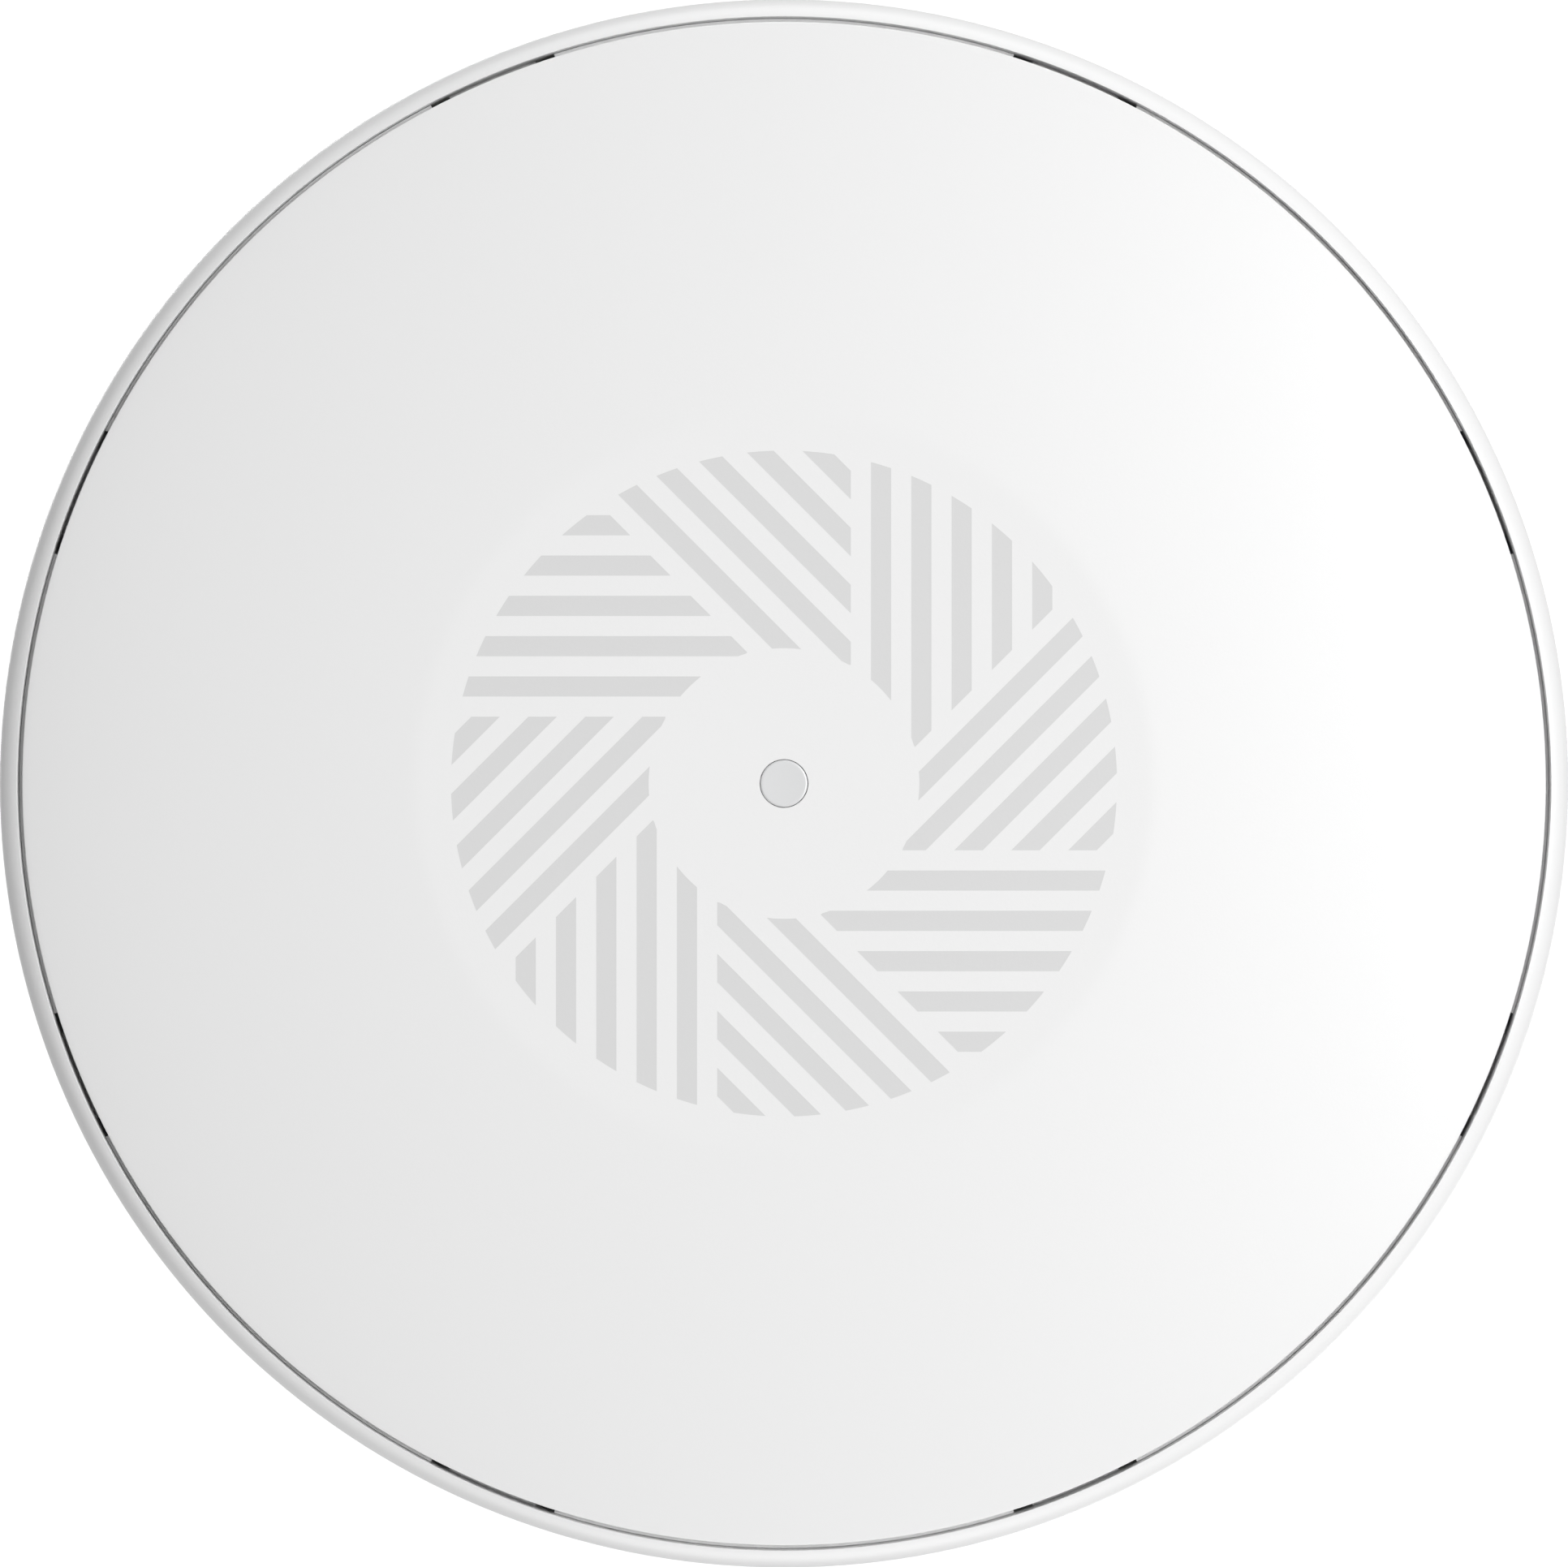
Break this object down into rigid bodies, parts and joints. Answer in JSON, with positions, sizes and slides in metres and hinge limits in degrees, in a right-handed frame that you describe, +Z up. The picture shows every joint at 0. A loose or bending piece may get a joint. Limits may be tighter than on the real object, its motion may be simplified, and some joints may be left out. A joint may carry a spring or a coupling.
{
  "type": "ceiling access point",
  "caption": "Round domed white wireless access point that twist-locks onto a pressed steel ceiling bracket, with a striped rosette in the cover and network sockets in a recess behind.",
  "frame": {"origin": "centre of the ceiling plane, which the top of the bracket rests on", "axes": "+Z up into the ceiling, so the cover faces -Z; +Y towards the wall of the recess that holds the network sockets; +X completes the right-handed frame"},
  "size_m": [0.2, 0.2, 0.038],
  "materials": {
    "white_shell": "fine satin white",
    "grey_inlay": "satin light grey",
    "clear_lens": "translucent white",
    "cast_plate": "bead-blasted casting",
    "zinc_bracket": "zinc plated",
    "steel_fasteners": "turned steel",
    "spring_steel": "blued spring steel",
    "black_rubber": "matte black",
    "circuit_board": "green solder mask",
    "tinned_steel": "tinned",
    "thermal_pad": "soft grey blue",
    "black_moulding": "black",
    "grey_button": "dark grey"
  },
  "bodies": {
    "ceiling_mount": {"ceiling_bracket": "zinc_bracket", "lock_spring": "spring_steel", "spring_rivet_1": "steel_fasteners", "spring_rivet_2": "steel_fasteners"},
    "catch": {"catch_pin": "steel_fasteners"},
    "reset": {"reset_button": "grey_button"},
    "access_point": {"front_cover": "white_shell", "stripe_inlay": "grey_inlay", "status_lens": "clear_lens", "rim_housing": "white_shell", "back_gasket": "black_rubber", "back_plate": "cast_plate", "back_screw_1": "steel_fasteners", "back_screw_2": "steel_fasteners", "back_screw_3": "steel_fasteners", "back_screw_4": "steel_fasteners", "twist_stud_1": "steel_fasteners", "twist_stud_2": "steel_fasteners", "twist_stud_3": "steel_fasteners", "bumper_pad_1": "black_rubber", "bumper_pad_2": "black_rubber", "bumper_pad_3": "black_rubber", "main_board": "circuit_board", "board_screw_1": "steel_fasteners", "board_screw_2": "steel_fasteners", "board_screw_3": "steel_fasteners", "board_screw_4": "steel_fasteners", "processor_can": "tinned_steel", "radio_can_1": "tinned_steel", "radio_can_2": "tinned_steel", "thermal_pad": "thermal_pad", "heat_spreader": "cast_plate", "uplink_jack": "tinned_steel", "lan_jack": "tinned_steel", "lan_transformer": "black_moulding", "supply_transformer": "black_moulding", "capacitor_1": "tinned_steel", "capacitor_2": "tinned_steel", "reset_switch": "black_moulding", "antenna_2g_1": "tinned_steel", "antenna_2g_2": "tinned_steel", "antenna_2g_3": "tinned_steel", "antenna_5g_1": "tinned_steel", "antenna_5g_2": "tinned_steel", "antenna_5g_3": "tinned_steel", "status_led": "clear_lens", "light_guide": "clear_lens"}
  },
  "joints": [
    {"name": "twist_lock", "type": "hinge", "parent": "ceiling_mount", "child": "access_point", "pos_m": [0, 0, 0], "axis": [0, 0, 1], "range_deg": [-15, 0]},
    {"name": "catch_lift", "type": "slide", "parent": "ceiling_mount", "child": "catch", "axis": [0, 0, 1], "range_m": [0, 0.0013], "deforming": ["lock_spring"]},
    {"name": "reset_press", "type": "slide", "parent": "access_point", "child": "reset", "axis": [0, 1, 0], "range_m": [0, 0.0008], "stiffness_N_per_m": 1500}
  ],
  "couplings": [
    {"joint": "catch_lift", "follows": "twist_lock", "m_per_rad": -0.00496}
  ]
}
